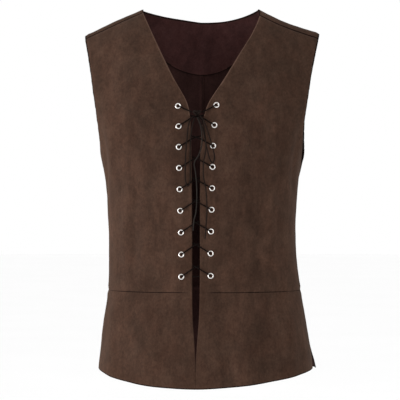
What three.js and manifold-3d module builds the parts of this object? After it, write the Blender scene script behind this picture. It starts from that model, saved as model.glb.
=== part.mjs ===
// A laced costume waistcoat of faux suede, filled out as if worn, with nobody in it.
// Millimetres. +Z is up, the front faces -Y, and left and right are the wearer's: left is +X.
// The origin lies between the two points where the shoulder seams meet the neck.

import * as THREE from 'three';
import { mergeVertices } from 'three/addons/utils/BufferGeometryUtils.js';
import Module from 'manifold-3d';

const wasm = await Module();
wasm.setup();

// ---------- driving dimensions ----------

const CLOTH = 2; // wall of the bonded faux suede
const SEAM_GAP = 0.3; // between two pieces that are sewn together
const EDGE_MARGIN = 3; // a place this far inside the opening's edge is surely on the cloth
const ROUNDNESS = 2.35; // exponent of the body's superellipse sections, 2 being an ellipse

const WAIST_Z = -518; // seam between bodice and peplum
const UNDERARM_Z = -285; // top of the side seams
const HEM_FRONT_Z = -689; // hem at the centre front
const HEM_RISE = 26.2; // the hem is cut this much higher at the sides
const HEM_CURVE = { left: 1.35, right: 1.65 }; // how late the hem starts to rise on each side
const V_END_Z = -200; // the neckline's V ends here, where the laced opening starts
const VENT_TOP_Z = -621; // the side seam of the peplum is open below this
const VENT_SLIT = 5; // width of that slit at the hem, along each panel

const SHOULDER = { neckX: 108, tipX: 217, drop: 50, neckRound: 45 };
const LEFT_TIP = { lift: 12, from: 0.6 }; // the left shoulder sinks to this share, and lifts past it
// The shoulder seam lies this share of the armhole's height below the ridge, on the front.
const SHOULDER_SEAM = { left: 0.046, right: 0.0335 };
// Where the back neckline leaves the centre seam, and how late it starts to rise on each side.
const BACK_NECK = { leavesRow: 0.836, curve: { left: 2, right: 1.5 } };

// Sections of the filled bodice: half width at the side, how far the section stands out to the
// wearer's left, how far the back armhole edge reaches past the front one, depths of both faces.
// On the peplum the back reaches past the front at the left side only.
const BODICE = [
  { z: 45, half: 230, lean: 3, backOut: 0, front: 92, back: 96 },
  { z: -50, half: 216.9, lean: 3.4, backOut: 0, front: 100, back: 104 },
  { z: -94, half: 208.3, lean: 3.7, backOut: 0, front: 106, back: 110 },
  { z: -131, half: 202.2, lean: 3.5, backOut: 0, front: 112, back: 114 },
  { z: -205, half: 190.7, lean: 3.2, backOut: 2, front: 122, back: 115 },
  { z: -242, half: 186.5, lean: 3.5, backOut: 4, front: 125, back: 114 },
  { z: -268, half: 185.2, lean: 3, backOut: 5, front: 125, back: 113 },
  { z: -285, half: 182.7, lean: 3.3, backOut: 2.5, front: 124.5, back: 111.5 },
  { z: -316, half: 177.8, lean: 4.1, backOut: 0, front: 122.5, back: 109 },
  { z: -353, half: 175.4, lean: 3.9, backOut: 0, front: 119, back: 105 },
  { z: -427, half: 172.8, lean: 4.7, backOut: 0, front: 114, back: 99 },
  { z: -480, half: 174, lean: 6.2, backOut: 0, front: 114.5, back: 100 },
  { z: -518, half: 177.4, lean: 8, backOut: 0, front: 117, back: 104 },
];
const PEPLUM = [
  { z: -518, half: 177.4, lean: 8, backOut: 0, front: 117, back: 104 },
  { z: -538, half: 180.4, lean: 8.3, backOut: 0, front: 119.5, back: 107 },
  { z: -575, half: 186.5, lean: 8.4, backOut: 0, front: 123, back: 112 },
  { z: -621, half: 191.9, lean: 10.2, backOut: 0, front: 126.5, back: 117 },
  { z: -662, half: 197, lean: 10.5, backOut: 6, front: 129, back: 120 },
  { z: -700, half: 201, lean: 11, backOut: 7, front: 131, back: 123 },
];

// The free edge of each front, from the neck down the V and along the laced opening to the hem.
const FRONT_EDGE = [
  { z: 0, left: 110, right: 107 },
  { z: -14, left: 111, right: 101 },
  { z: -48, left: 98, right: 85 },
  { z: -90, left: 74, right: 65 },
  { z: -138, left: 46, right: 41 },
  { z: -176, left: 22, right: 19.5 },
  { z: V_END_Z, left: 13, right: 13 },
  { z: -235, left: 7.5, right: 10.5 },
  { z: -353, left: 5, right: 9.2 },
  { z: -518, left: 4.6, right: 8.8 },
  { z: -565, left: 3.3, right: 7.7 },
  { z: -620, left: -0.6, right: 3.7 },
  { z: -655, left: -1.85, right: 2.2 },
  { z: -700, left: -1.85, right: 2.2 },
];
const OPENING_X = -2; // middle of the laced opening

const EYELET = { rows: 9, topLeftZ: -183.6, topRightZ: -185.4, pitch: 36.2, growth: 0.23 };
const EYELET_FROM_EDGE = { least: 19.3, bow: 2.8, bowRow: 2.3, bowRows: 4.2 }; // the column bows out
const EYELET_RING = { hole: 3.05, barrel: 3.3, flange: 5.3, washer: 4.9, dome: 1.1, back: 0.6, sides: 10 };
const EYELET_BORE = EYELET_RING.barrel + SEAM_GAP;

const FACING = { cloth: 1.2, reachX: 132, lowZ: -114, rise: 0.005, fromRow: 0.4 };

const LACE = { radius: 1.1, sides: 8, crossRise: 16.5, edgeRise: 12.5, dipRise: 20 };
const LACE_BAR_Z = -489; // both runs start behind the cloth here, between the lowest eyelets
const ON_CLOTH = LACE.radius + 0.35; // lift of the lace's middle where it lies on the cloth
const OVER_EDGE = LACE.radius + 0.8; // and where it turns over the edge of the opening
const UNDER_CLOTH = -(CLOTH + LACE.radius + 0.55);
const CROSS_OVER = 0.5; // lifts of the two runs where they cross in the opening
const CROSS_UNDER = -2.9;
const ON_LACE = 4.25; // lift of a strand that lies across the laced runs
const ON_TOP = 6.95; // lift of a strand that lies across such a strand
const KNOT = { x: 0, z: -199, lift: 5.4, wide: 8.5, deep: 3.6, tall: 5.4 };

// How far the lace's middle is from the eyelet's axis, and its lift, on the way in and out.
const INTO_EYELET = [
  { from: 9, lift: UNDER_CLOTH },
  { from: 3, lift: -4.7 },
  { from: 0.9, lift: -3.4 },
];
const OUT_OF_EYELET = [
  { from: 0.9, lift: 0.9 },
  { from: 2.3, lift: 2.9 },
  { from: 5.2, lift: 3.1 },
  { from: 9.5, lift: ON_CLOTH },
];

// The bow's loops and ends, hanging from the knot over the laced opening.
const BOW = {
  lace_loop_right: [
    { x: -6.2, z: -205.2, lift: 4.6 },
    { x: -12.6, z: -213, lift: ON_LACE },
    { x: -17.5, z: -246, lift: ON_LACE },
    { x: -20.2, z: -291, lift: ON_LACE },
    { x: -19.8, z: -319, lift: ON_LACE },
    { x: -16, z: -328, lift: ON_LACE },
    { x: -12, z: -319, lift: ON_LACE },
    { x: -11.8, z: -282, lift: ON_LACE },
    { x: -10.6, z: -240, lift: ON_LACE },
    { x: -6.8, z: -217, lift: ON_LACE },
    { x: -3.2, z: -206.4, lift: 4.6 },
  ],
  lace_loop_left: [
    { x: 5.6, z: -205.6, lift: ON_TOP },
    { x: 10.5, z: -211, lift: ON_TOP },
    { x: 16.5, z: -225, lift: ON_TOP },
    { x: 22.5, z: -243, lift: ON_TOP },
    { x: 28.8, z: -264, lift: ON_TOP },
    { x: 31, z: -278, lift: ON_TOP },
    { x: 28, z: -287, lift: ON_TOP },
    { x: 23.5, z: -282, lift: ON_TOP },
    { x: 16.5, z: -255, lift: ON_TOP },
    { x: 9.5, z: -226, lift: ON_TOP },
    { x: 2.4, z: -206.8, lift: ON_TOP },
  ],
  lace_end_right: [
    { x: 0, z: -206.6, lift: ON_LACE },
    { x: 3.4, z: -214, lift: ON_LACE },
    { x: 8, z: -229, lift: ON_LACE },
    { x: 8.8, z: -255, lift: ON_LACE },
    { x: 3.4, z: -273, lift: ON_LACE },
    { x: -4.5, z: -287, lift: ON_LACE },
    { x: -2.4, z: -303, lift: ON_LACE },
    { x: -0.2, z: -335, lift: ON_LACE },
    { x: -1.9, z: -374, lift: ON_LACE },
    { x: -5.5, z: -389, lift: ON_LACE },
    { x: -7.2, z: -408, lift: ON_LACE },
  ],
  lace_end_left: [
    { x: 3.6, z: -206.4, lift: 4.6 },
    { x: 8.5, z: -212, lift: 4.4 },
    { x: 13.8, z: -236, lift: ON_LACE },
    { x: 15.9, z: -264, lift: ON_LACE },
    { x: 12.3, z: -283, lift: ON_LACE },
    { x: 11.4, z: -309, lift: ON_LACE },
    { x: 15.9, z: -335, lift: ON_LACE },
    { x: 17.6, z: -371, lift: ON_LACE },
    { x: 15.9, z: -397, lift: ON_LACE },
    { x: 14.1, z: -422, lift: ON_LACE },
  ],
};

// Grid divisions of the cloth pieces.
const SETTLING_PASSES = 12; // x and z of a point depend on each other, and settle in this many passes
const INSIDE = { below: 80, highest: -200 }; // from any point of the cloth, this lies inside the body
const GRID = { across: 12, side: 8, armhole: 12, backArmhole: 9, overRidge: 2, peplum: 5, facingCurve: 10 };
const NECKLINE_STEPS = [0.3, 0.55, 0.78, 0.93, 1]; // square roots of shares of the back neckline's rows

const SUEDE = new THREE.Color(0x4a3529);
const SUEDE_INSIDE = new THREE.Color(0x281818);
const NICKEL = new THREE.Color(0xd2d2d0);
const LACE_BROWN = new THREE.Color(0x1d1613);

const FRONT = { sign: -1, depth: 'front', out: 0, shoulderRound: 1, armDepth: 0.52 };
const BACK = { sign: 1, depth: 'back', out: 1, shoulderRound: 0.8, armDepth: 0.46 };
const ARMHOLE_ROUND = 130; // height over which the armhole widens from its lowest point
const ARMHOLE_POINT = 0.7; // 0.5 makes its lowest part an arc, and more makes it pointed

// ---------- the filled shape ----------

const { lerp, clamp } = THREE.MathUtils;

/** A table's column at a height, as a smooth curve through its rows, which run downwards. */
function column(table, name, z) {
  let i = 0;
  while (i < table.length - 2 && z < table[i + 1].z) i++;
  const slopeAt = (k) => {
    const a = table[Math.max(k - 1, 0)];
    const b = table[Math.min(k + 1, table.length - 1)];
    return (b[name] - a[name]) / (b.z - a.z);
  };
  const span = table[i + 1].z - table[i].z;
  const t = clamp((z - table[i].z) / span, 0, 1);
  const start = table[i][name];
  const end = table[i + 1][name];
  const ease = t * t * (3 - 2 * t);
  const bend = span * t * (1 - t) * ((1 - t) * slopeAt(i) - t * slopeAt(i + 1));
  return start + (end - start) * ease + bend;
}

const roundedAbs = (x) => Math.hypot(x, SHOULDER.neckRound);

/** Height of the shoulder ridge at x; the slope goes on inwards above the neckline. */
function ridgeZ(x) {
  const atNeck = roundedAbs(SHOULDER.neckX);
  const slope = (SHOULDER.drop * (atNeck - roundedAbs(x))) / (roundedAbs(SHOULDER.tipX) - atNeck);
  const outwards = Math.max((x - SHOULDER.neckX) / (SHOULDER.tipX - SHOULDER.neckX), 0);
  return slope + LEFT_TIP.lift * outwards * (outwards - LEFT_TIP.from);
}

/** Rows run from -1 at the waist, through 0 at the underarm, to 1 on the shoulder ridge. */
function rowZ(x, row) {
  if (row < 0) return lerp(UNDERARM_Z, WAIST_Z, -row);
  return lerp(UNDERARM_Z, ridgeZ(x), row);
}

function rowOf(x, z) {
  if (z < UNDERARM_Z) return (z - UNDERARM_Z) / (UNDERARM_Z - WAIST_Z);
  return (z - UNDERARM_Z) / (ridgeZ(x) - UNDERARM_Z);
}

/** Half a section at one height: its true edge, and the superellipse that it is an arc of. */
function section(face, side, z, onPeplum = false) {
  const table = onPeplum ? PEPLUM : BODICE;
  const depth = column(table, face.depth, z);
  const backOut = onPeplum && side < 0 ? 0 : column(table, 'backOut', z);
  const edge = column(table, 'half', z) + side * column(table, 'lean', z) + face.out * backOut;
  let edgeDepth = SEAM_GAP / 2;
  if (onPeplum) {
    edgeDepth += VENT_SLIT * clamp((VENT_TOP_Z - z) / (VENT_TOP_Z - HEM_FRONT_Z - HEM_RISE), 0, 1);
  } else if (z > UNDERARM_Z) {
    const up = clamp((z - UNDERARM_Z) / ARMHOLE_ROUND, 0, 1);
    edgeDepth = Math.max(edgeDepth, face.armDepth * depth * (1 - (1 - up) ** 2) ** ARMHOLE_POINT);
  }
  const angle = Math.acos((edgeDepth / depth) ** (ROUNDNESS / 2));
  return { depth, angle, wide: edge / Math.sin(angle) ** (2 / ROUNDNESS) };
}

/** The angle of the point that is this far out on its side; both are negative past the body's middle. */
function angleAt(part, out) {
  return Math.sign(out) * Math.asin(clamp(Math.abs(out) / part.wide, 0, 1) ** (ROUNDNESS / 2));
}

function outAt(part, angle) {
  return Math.sign(angle) * part.wide * Math.abs(Math.sin(angle)) ** (2 / ROUNDNESS);
}

/** How much of the full depth a row has, from 0 on the shoulder ridge. */
function shoulderShare(face, row) {
  if (row <= 0) return 1;
  return Math.sin(Math.acos(clamp(1 - (1 - row) / face.shoulderRound, 0, 1)));
}

/** The outside of a face at x and z. */
function surfaceAt(face, x, z) {
  const part = section(face, x < 0 ? -1 : 1, z);
  const flat = Math.cos(angleAt(part, x)) ** (2 / ROUNDNESS);
  return new THREE.Vector3(x, face.sign * part.depth * flat * shoulderShare(face, rowOf(x, z)), z);
}

const edgeOf = (side) => (side > 0 ? 'left' : 'right');
const frontEdgeX = (side, z) => side * column(FRONT_EDGE, edgeOf(side), z);

// ---------- cloth pieces ----------

/** A point on a bodice piece: u runs from its inner edge to the side, and row runs upwards. */
function bodicePoint(face, side, u, row, innerX) {
  const over = row > 1;
  const onFace = over ? FRONT : face;
  const faceRow = over ? 2 - row : row;
  const share = shoulderShare(onFace, faceRow);
  let x = side * lerp(Math.abs(innerX(side, WAIST_Z, row)), SHOULDER.tipX, u);
  let z = rowZ(x, faceRow);
  let y = 0;
  for (let pass = 0; pass < SETTLING_PASSES; pass++) {
    const part = section(onFace, side, z);
    const angle = lerp(angleAt(part, side * innerX(side, z, row)), part.angle, u);
    x = side * outAt(part, angle);
    y = onFace.sign * part.depth * Math.cos(angle) ** (2 / ROUNDNESS) * share;
    z = rowZ(x, faceRow);
  }
  return new THREE.Vector3(x, y, z);
}

/** The centre back seam, then the neckline up to the ridge and over it to the shoulder seam. */
function backInnerX(side, z, row) {
  if (row <= BACK_NECK.leavesRow) return (side * SEAM_GAP) / 2;
  if (row > 1) return frontEdgeX(side, z) - side * 1.5;
  const along = (row - BACK_NECK.leavesRow) / (1 - BACK_NECK.leavesRow);
  return side * Math.max(SHOULDER.neckX * along ** (1 / BACK_NECK.curve[edgeOf(side)]), SEAM_GAP / 2);
}

/** A point on a peplum piece: v runs from the waist seam down to the hem. */
function peplumPoint(face, side, u, v, innerX) {
  const hemZ = HEM_FRONT_Z + HEM_RISE * Math.sin((Math.PI / 2) * u ** HEM_CURVE[edgeOf(side)]);
  const z = lerp(WAIST_Z - SEAM_GAP / 2, hemZ, v);
  const part = section(face, side, z, true);
  const angle = lerp(angleAt(part, side * innerX(side, z)), part.angle, u);
  const x = side * outAt(part, angle);
  const y = face.sign * part.depth * Math.cos(angle) ** (2 / ROUNDNESS);
  return new THREE.Vector3(x, y, z);
}

/** Rows of a grid of points, and the same grid moved inwards by each depth that is given. */
function layers(pointAt, us, vs, depths, levelShare) {
  const step = 1e-3;
  const ends = (list) => [Math.min(...list), Math.max(...list)];
  const [u0, u1] = ends(us);
  const [v0, v1] = ends(vs);
  const inwardAt = (u, v) => {
    const along = pointAt(Math.min(u + step, u1), v).sub(pointAt(Math.max(u - step, u0), v));
    const up = pointAt(u, Math.min(v + step, v1)).sub(pointAt(u, Math.max(v - step, v0)));
    const normal = along.cross(up);
    normal.z *= levelShare(v);
    normal.normalize();
    const p = pointAt(u, v);
    const middle = new THREE.Vector3(0, 0, Math.min(p.z - INSIDE.below, INSIDE.highest));
    if (normal.dot(middle.sub(p)) < 0) normal.negate();
    return normal;
  };
  return depths.map((depth) =>
    vs.map((v) => us.map((u) => pointAt(u, v).addScaledVector(inwardAt(u, v), depth)))
  );
}

/** A closed wall between two grids of the same size. */
function wall(outer, inner) {
  const rows = outer.length;
  const cols = outer[0].length;
  const points = [...outer.flat(), ...inner.flat()];
  const at = (layer, r, c) => layer * rows * cols + r * cols + c;
  const index = [];
  const quad = (a, b, c, d) => index.push(a, b, c, a, c, d);
  for (let r = 0; r < rows - 1; r++) {
    for (let c = 0; c < cols - 1; c++) {
      quad(at(0, r, c), at(0, r, c + 1), at(0, r + 1, c + 1), at(0, r + 1, c));
      quad(at(1, r, c), at(1, r + 1, c), at(1, r + 1, c + 1), at(1, r, c + 1));
    }
    quad(at(0, r, 0), at(0, r + 1, 0), at(1, r + 1, 0), at(1, r, 0));
    quad(at(0, r, cols - 1), at(1, r, cols - 1), at(1, r + 1, cols - 1), at(0, r + 1, cols - 1));
  }
  for (let c = 0; c < cols - 1; c++) {
    quad(at(0, 0, c), at(1, 0, c), at(1, 0, c + 1), at(0, 0, c + 1));
    quad(at(0, rows - 1, c), at(0, rows - 1, c + 1), at(1, rows - 1, c + 1), at(1, rows - 1, c));
  }
  const geometry = new THREE.BufferGeometry().setFromPoints(points);
  geometry.setIndex(index);
  return facingOut(geometry);
}

/** The same geometry with its faces turned outwards. */
function facingOut(geometry) {
  const p = geometry.attributes.position;
  const index = geometry.index.array;
  const corner = (i) => new THREE.Vector3().fromBufferAttribute(p, index[i]);
  let volume = 0;
  for (let i = 0; i < index.length; i += 3) volume += corner(i).dot(corner(i + 1).cross(corner(i + 2)));
  if (volume > 0) return geometry;
  const turned = [];
  for (let i = 0; i < index.length; i += 3) turned.push(index[i], index[i + 2], index[i + 1]);
  geometry.setIndex(turned);
  return geometry;
}

const evenly = (from, to, count) => Array.from({ length: count + 1 }, (_, i) => lerp(from, to, i / count));

/** Rows from the waist to the underarm, then up to the top row, closer at both ends. */
function bodiceRows(top, count) {
  const lowest = -1 + SEAM_GAP / 2 / (UNDERARM_Z - WAIST_Z);
  const side = evenly(lowest, 0, GRID.side);
  const armhole = evenly(0, Math.PI, count).map((a) => (top * (1 - Math.cos(a))) / 2);
  return [...side, ...armhole.slice(1)];
}

/** The back's rows up to the ridge, with those that end at the neckline. */
function backRows() {
  const { leavesRow } = BACK_NECK;
  const neckline = NECKLINE_STEPS.map((t) => lerp(leavesRow, 1, t * t));
  return [...bodiceRows(leavesRow, GRID.backArmhole), ...neckline];
}

/** Rows below the underarm are offset level, so that sewn edges meet; higher ones square. */
const bodiceLevel = (row) => clamp(row / 0.3, 0, 1);

function frontBodice(side) {
  const seamRow = 1 - SHOULDER_SEAM[edgeOf(side)] - 0.0005;
  const pointAt = (u, row) => bodicePoint(FRONT, side, u, row, frontEdgeX);
  const us = evenly(0, 1, GRID.across);
  const rows = bodiceRows(seamRow, GRID.armhole);
  return wall(...layers(pointAt, us, rows, [0, CLOTH], bodiceLevel));
}

/** A wall on the back's own rows, between two depths. */
function onBack(side, rows, depths, innerX) {
  const pointAt = (u, row) => bodicePoint(BACK, side, u, row, innerX);
  return wall(...layers(pointAt, evenly(0, 1, GRID.across), rows, depths, bodiceLevel));
}

function backBodice(side) {
  const seamRow = 1 + SHOULDER_SEAM[edgeOf(side)] - 0.0005;
  const overRidge = evenly(1, seamRow, GRID.overRidge).slice(1);
  return onBack(side, [...backRows(), ...overRidge], [0, CLOTH], backInnerX);
}

function frontPeplum(side) {
  const pointAt = (u, v) => peplumPoint(FRONT, side, u, v, frontEdgeX);
  const grids = layers(pointAt, evenly(0, 1, GRID.across), evenly(0, 1, GRID.peplum), [0, CLOTH], () => 0);
  return wall(...grids);
}

/** The back peplum is one piece, so u runs from -1 at the right side to 1 at the left. */
function backPeplum() {
  const middle = () => 0;
  const pointAt = (u, v) => peplumPoint(BACK, u < 0 ? -1 : 1, Math.abs(u), v, middle);
  const us = evenly(-1, 1, GRID.across * 2);
  return wall(...layers(pointAt, us, evenly(0, 1, GRID.peplum), [0, CLOTH], () => 0));
}

/**
 * The facing inside the back neck, from the neckline and ridge down to a shallow curve. It is one
 * piece, so its halves, on the rows of the two backs, reach past the middle and are joined there.
 */
function backNeckFacing() {
  const near = CLOTH + SEAM_GAP;
  const rows = backRows().filter((row) => row > FACING.fromRow);
  const pastMiddle = (side, z, row) => backInnerX(side, z, row) - side * SEAM_GAP;
  const half = (side) => toSolid(onBack(side, rows, [near, near + FACING.cloth], pastMiddle));
  const curve = evenly(-FACING.reachX, FACING.reachX, 2 * GRID.facingCurve);
  const outline = curve.map((x) => new THREE.Vector2(x, FACING.lowZ + FACING.rise * x * x));
  for (const x of [FACING.reachX, -FACING.reachX]) outline.push(new THREE.Vector2(x, SHOULDER.drop));
  const depth = 2 * SHOULDER.tipX;
  const cutter = new THREE.ExtrudeGeometry(new THREE.Shape(outline), { depth, bevelEnabled: false });
  cutter.rotateX(Math.PI / 2).translate(0, depth / 2, 0);
  return fromSolid(half(1).add(half(-1)).intersect(toSolid(cutter)));
}

// ---------- places on the fronts ----------

const fronts = { left: frontBodice(1), right: frontBodice(-1) };
const skin = new THREE.MeshBasicMaterial({ side: THREE.DoubleSide });
const frontSkins = Object.values(fronts).map((geometry) => new THREE.Mesh(geometry, skin));

/** The outside of the fronts at x and z, level with the nearer edge in the opening, and its normal. */
function onFrontCloth(x, z) {
  const step = 1;
  const side = x < OPENING_X ? -1 : 1;
  const onCloth = side * Math.max(side * x, side * frontEdgeX(side, z) + EDGE_MARGIN);
  const across = surfaceAt(FRONT, x + step, z).sub(surfaceAt(FRONT, x - step, z));
  const up = surfaceAt(FRONT, x, z + step).sub(surfaceAt(FRONT, x, z - step));
  const normal = across.cross(up).normalize();
  const from = new THREE.Vector3(onCloth, -SHOULDER.tipX, z);
  const hit = new THREE.Raycaster(from, new THREE.Vector3(0, 1, 0)).intersectObjects(frontSkins)[0];
  return { seat: new THREE.Vector3(x, hit.point.y, z), normal };
}

function onFront({ x, z, lift }) {
  const { seat, normal } = onFrontCloth(x, z);
  return seat.addScaledVector(normal, lift);
}

// ---------- eyelets ----------

function eyeletZ(side, k) {
  const topZ = side > 0 ? EYELET.topLeftZ : EYELET.topRightZ;
  return topZ - EYELET.pitch * k - EYELET.growth * k * k;
}

function eyeletX(side, k) {
  const { least, bow, bowRow, bowRows } = EYELET_FROM_EDGE;
  const fromEdge = least + bow * Math.max(0, 1 - ((k - bowRow) / bowRows) ** 2);
  return frontEdgeX(side, Math.min(eyeletZ(side, k), V_END_Z)) + side * fromEdge;
}

/** Stands a geometry whose axis is Y at an eyelet, with that axis square to the cloth. */
function standAtEyelet(geometry, side, k) {
  const { seat, normal } = onFrontCloth(eyeletX(side, k), eyeletZ(side, k));
  const turn = new THREE.Quaternion().setFromUnitVectors(new THREE.Vector3(0, 1, 0), normal);
  return geometry.applyQuaternion(turn).translate(seat.x, seat.y, seat.z);
}

/** A nickel eyelet: a domed flange in front, a barrel through the cloth, a washer behind. */
function eyeletRing(side, k) {
  const ring = EYELET_RING;
  const front = SEAM_GAP;
  const behind = -(CLOTH + SEAM_GAP);
  const profile = [
    [ring.hole, behind - ring.back],
    [ring.washer, behind - ring.back],
    [ring.washer, behind],
    [ring.barrel, behind],
    [ring.barrel, front],
    [ring.flange, front],
    [ring.hole + 1.1, front + ring.dome],
    [ring.hole, front + 0.4 * ring.dome],
    [ring.hole, behind - ring.back],
  ].map(([r, y]) => new THREE.Vector2(r, y));
  return standAtEyelet(new THREE.LatheGeometry(profile, ring.sides), side, k);
}

// ---------- joining and cutting ----------

function toSolid(geometry) {
  const bare = geometry.clone();
  bare.deleteAttribute('normal');
  bare.deleteAttribute('uv');
  const merged = mergeVertices(bare, 1e-4);
  return new wasm.Manifold(
    new wasm.Mesh({
      numProp: 3,
      vertProperties: new Float32Array(merged.attributes.position.array),
      triVerts: new Uint32Array(merged.index.array),
    })
  );
}

function fromSolid(solid) {
  const mesh = solid.getMesh();
  const geometry = new THREE.BufferGeometry();
  geometry.setAttribute('position', new THREE.BufferAttribute(new Float32Array(mesh.vertProperties), 3));
  geometry.setIndex(new THREE.BufferAttribute(new Uint32Array(mesh.triVerts), 1));
  return geometry;
}

/** A front with the holes that its eyelets are set in. */
function punched(panel, side) {
  let solid = toSolid(panel);
  for (let k = 0; k < EYELET.rows; k++) {
    const punch = new THREE.CylinderGeometry(EYELET_BORE, EYELET_BORE, 4 * CLOTH, EYELET_RING.sides);
    solid = solid.subtract(toSolid(standAtEyelet(punch, side, k)));
  }
  return fromSolid(solid);
}

// ---------- lace ----------

/** A smooth route that is stepped from point to point, so that tight bends keep their points. */
class Route extends THREE.CatmullRomCurve3 {
  getUtoTmapping(u) {
    return u;
  }
}

function tube(spots, stepsEach) {
  const corners = evenly(0, 2 * Math.PI, LACE.sides).slice(0, -1);
  const ring = corners.map((a) => new THREE.Vector2(LACE.radius * Math.cos(a), LACE.radius * Math.sin(a)));
  const extrudePath = new Route(spots.map(onFront), false, 'centripetal');
  const steps = (spots.length - 1) * stepsEach;
  return new THREE.ExtrudeGeometry(new THREE.Shape(ring), { steps, extrudePath, curveSegments: 1 });
}

/** Spots on the way to or from an eyelet, along the line between it and another spot. */
function spotsAlong(eyelet, other, list) {
  const reach = Math.hypot(other.x - eyelet.x, other.z - eyelet.z);
  return list.map(({ from, lift }) => ({
    x: lerp(eyelet.x, other.x, from / reach),
    z: lerp(eyelet.z, other.z, from / reach),
    lift,
  }));
}

/** One run of the lace, from the bar behind the lowest row up through nine eyelets to the knot. */
function laceRun(firstSide, crossLift) {
  const last = EYELET.rows - 1;
  const start = { x: OPENING_X + firstSide * 0.2, z: LACE_BAR_Z, lift: UNDER_CLOTH };
  const route = [start];
  let before = start;
  for (let k = last; k >= 0; k--) {
    const side = (last - k) % 2 ? -firstSide : firstSide;
    const eyelet = { x: eyeletX(side, k), z: eyeletZ(side, k) };
    const levelZ = (eyeletZ(1, k) + eyeletZ(-1, k)) / 2;
    const edgeZ = levelZ + LACE.edgeRise;
    const overEdge = { x: frontEdgeX(side, edgeZ), z: edgeZ, lift: OVER_EDGE };
    const toKnot = { x: KNOT.x + side * 12.5, z: KNOT.z + 3, lift: 3.4 };
    const after = k > 0 ? overEdge : toKnot;
    route.push(...spotsAlong(eyelet, before, INTO_EYELET), { ...eyelet, lift: -CLOTH / 2 });
    route.push(...spotsAlong(eyelet, after, OUT_OF_EYELET), after);
    if (k > 0) {
      const dipZ = levelZ + LACE.dipRise;
      before = { x: frontEdgeX(-side, dipZ) - side * 1.2, z: dipZ, lift: UNDER_CLOTH };
      route.push({ x: OPENING_X, z: levelZ + LACE.crossRise, lift: crossLift }, before);
    }
  }
  route.push({ x: KNOT.x + firstSide * (KNOT.wide + 0.5), z: KNOT.z + 1, lift: 5 });
  return tube(route, 1);
}

function bowKnot() {
  const knot = new THREE.SphereGeometry(1, 10, 8).scale(KNOT.wide, KNOT.deep, KNOT.tall);
  const at = onFront(KNOT);
  return knot.translate(at.x, at.y, at.z);
}

// ---------- assembly ----------

const part = new THREE.Group();

function add(name, geometry, color, roughness, metalness = 0) {
  const mesh = new THREE.Mesh(geometry, new THREE.MeshStandardMaterial({ color, roughness, metalness }));
  mesh.name = name;
  part.add(mesh);
}

const SIDES = [
  { name: 'left', side: 1 },
  { name: 'right', side: -1 },
];

for (const { name, side } of SIDES) {
  add(`front_${name}`, punched(fronts[name], side), SUEDE, 0.95);
  add(`back_${name}`, backBodice(side), SUEDE, 0.95);
  add(`peplum_front_${name}`, frontPeplum(side), SUEDE, 0.95);
  for (let k = 0; k < EYELET.rows; k++) {
    add(`eyelet_${name}_${k + 1}`, eyeletRing(side, k), NICKEL, 0.25, 1);
  }
  add(`lace_run_${name}`, laceRun(side, side > 0 ? CROSS_OVER : CROSS_UNDER), LACE_BROWN, 0.8);
}
add('peplum_back', backPeplum(), SUEDE, 0.95);
add('back_neck_facing', backNeckFacing(), SUEDE_INSIDE, 0.95);
add('lace_knot', bowKnot(), LACE_BROWN, 0.8);
for (const [name, spots] of Object.entries(BOW)) add(name, tube(spots, 2), LACE_BROWN, 0.8);

export default part;
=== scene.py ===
"""A laced costume waistcoat of dark brown faux suede, filled out as if worn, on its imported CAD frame.

Lengths in this file are millimetres until a mesh is made. +X is the wearer's left.
"""

import math

import bpy
import numpy as np
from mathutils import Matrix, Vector


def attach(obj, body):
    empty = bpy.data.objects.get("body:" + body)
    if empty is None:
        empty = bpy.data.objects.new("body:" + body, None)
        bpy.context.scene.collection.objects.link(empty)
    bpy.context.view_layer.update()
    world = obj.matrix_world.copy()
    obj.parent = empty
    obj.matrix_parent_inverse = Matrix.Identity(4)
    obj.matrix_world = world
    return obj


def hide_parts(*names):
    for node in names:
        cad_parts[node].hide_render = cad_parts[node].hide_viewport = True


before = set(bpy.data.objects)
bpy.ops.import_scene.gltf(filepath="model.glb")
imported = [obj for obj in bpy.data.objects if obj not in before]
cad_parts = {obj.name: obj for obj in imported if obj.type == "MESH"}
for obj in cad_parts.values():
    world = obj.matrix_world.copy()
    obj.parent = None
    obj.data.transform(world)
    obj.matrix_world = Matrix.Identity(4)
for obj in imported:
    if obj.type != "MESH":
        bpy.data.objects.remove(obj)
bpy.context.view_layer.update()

MM = 0.001

# ---------- camera ----------

CAMERA = {"distance": 3.0, "azimuth": 2.5, "height": -0.353, "lens": 145.9, "sensor": 36}  # m, degrees, mm


def make_camera():
    data = bpy.data.cameras.new("camera")
    data.lens = CAMERA["lens"]
    data.sensor_width = CAMERA["sensor"]
    camera = bpy.data.objects.new("camera", data)
    turn = math.radians(CAMERA["azimuth"])
    out = CAMERA["distance"]
    camera.location = (out * math.sin(turn), -out * math.cos(turn), CAMERA["height"])
    camera.rotation_euler = (math.pi / 2, 0, turn)
    bpy.context.scene.collection.objects.link(camera)
    bpy.context.scene.camera = camera


make_camera()

# ---------- the filled shape, from the same named sizes as the CAD ----------

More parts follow.
